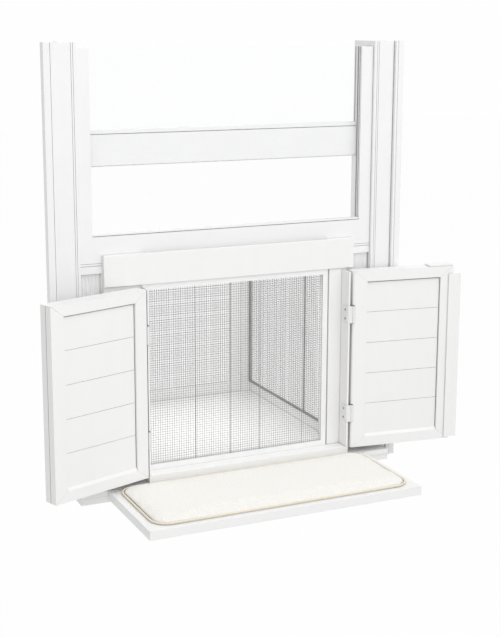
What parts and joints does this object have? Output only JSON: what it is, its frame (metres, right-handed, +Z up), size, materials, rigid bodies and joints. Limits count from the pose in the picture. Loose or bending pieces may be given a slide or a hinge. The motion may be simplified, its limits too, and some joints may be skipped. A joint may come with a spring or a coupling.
{
  "type": "window box catio",
  "caption": "White pet enclosure set under a raised window sash, with plank shutters at its entrance, a wire-mesh cage outside and a padded shelf inside.",
  "frame": {"origin": "middle of the window, on the underside of the sill, in the plane of the closed shutters' inner faces", "axes": "+X to the right across the window seen from the room, +Y out of the room through the window, +Z up"},
  "size_m": [1.1639, 0.8656, 1.118],
  "materials": {
    "sill_white": "satin",
    "window_white": "satin",
    "clear_glass": "polished",
    "wire_mesh": "satin",
    "dark_rubber": "matte",
    "white_plastic": "satin",
    "grey_plastic": "matte",
    "plated_steel": "brushed",
    "dark_steel": "satin",
    "cream_fabric": "woven",
    "beige_piping": "woven",
    "painted_wood": "painted satin white"
  },
  "bodies": {
    "window_unit": {"sill": "sill_white", "left_casing": "window_white", "right_casing": "window_white", "jambs": "window_white", "jamb_liners": "white_plastic", "sash_gaskets": "dark_rubber", "upper_sash_meeting_rail": "window_white", "upper_sash_stiles": "window_white", "upper_sash_glass": "clear_glass", "top_channel": "white_plastic", "sash_seal": "white_plastic", "header_board": "painted_wood", "side_fillers": "white_plastic", "side_panels": "painted_wood", "left_fixed_board": "painted_wood", "right_fixed_board": "painted_wood", "left_cheek": "painted_wood", "right_cheek": "painted_wood", "base_rail": "painted_wood", "left_cheek_hinge_leaves": "plated_steel", "right_cheek_hinge_leaves": "plated_steel", "hinge_pins": "dark_steel", "cheek_leaf_screws": "dark_steel", "floor_bearers": "painted_wood", "cage_floor": "painted_wood", "corner_posts": "painted_wood", "side_wall_frames": "painted_wood", "side_wall_nets": "wire_mesh", "side_wall_bars": "grey_plastic", "back_wall_frame": "painted_wood", "back_wall_net": "wire_mesh", "cage_roof": "painted_wood", "shelf_front_rail": "painted_wood", "shelf_side_rails": "painted_wood", "shelf_panel": "painted_wood", "shelf_brackets": "plated_steel", "bracket_screws": "dark_steel", "mat": "cream_fabric", "mat_piping": "beige_piping"},
    "left_shutter": {"left_shutter_hinge_stile": "painted_wood", "left_shutter_free_stile": "painted_wood", "left_shutter_rails": "painted_wood", "left_shutter_planks": "painted_wood", "left_shutter_hinge_leaves": "plated_steel", "left_shutter_screws": "dark_steel"},
    "right_shutter": {"right_shutter_hinge_stile": "painted_wood", "right_shutter_free_stile": "painted_wood", "right_shutter_rails": "painted_wood", "right_shutter_planks": "painted_wood", "right_shutter_hinge_leaves": "plated_steel", "right_shutter_screws": "dark_steel", "overlap_strip": "painted_wood", "catch_block": "painted_wood"},
    "lower_sash": {"lower_sash_bottom_rail": "window_white", "lower_sash_stiles": "window_white", "lower_sash_glass": "clear_glass"},
    "screen_panel": {"screen_frame": "white_plastic", "screen_mesh": "wire_mesh", "screen_bars": "dark_steel"}
  },
  "joints": [
    {"name": "left_shutter_hinge", "type": "hinge", "parent": "window_unit", "child": "left_shutter", "pos_m": [-0.2464, 0, 0.287], "axis": [0, 0, -1], "range_deg": [-161, 12]},
    {"name": "right_shutter_hinge", "type": "hinge", "parent": "window_unit", "child": "right_shutter", "pos_m": [0.3283, 0, 0.287], "axis": [0, 0, 1], "range_deg": [-173.4, 2]},
    {"name": "lower_sash_slide", "type": "slide", "parent": "window_unit", "child": "lower_sash", "axis": [0, 0, 1], "range_m": [0, 0.2]},
    {"name": "screen_lift", "type": "slide", "parent": "window_unit", "child": "screen_panel", "axis": [0, 0, 1], "range_m": [0, 0.42]}
  ]
}
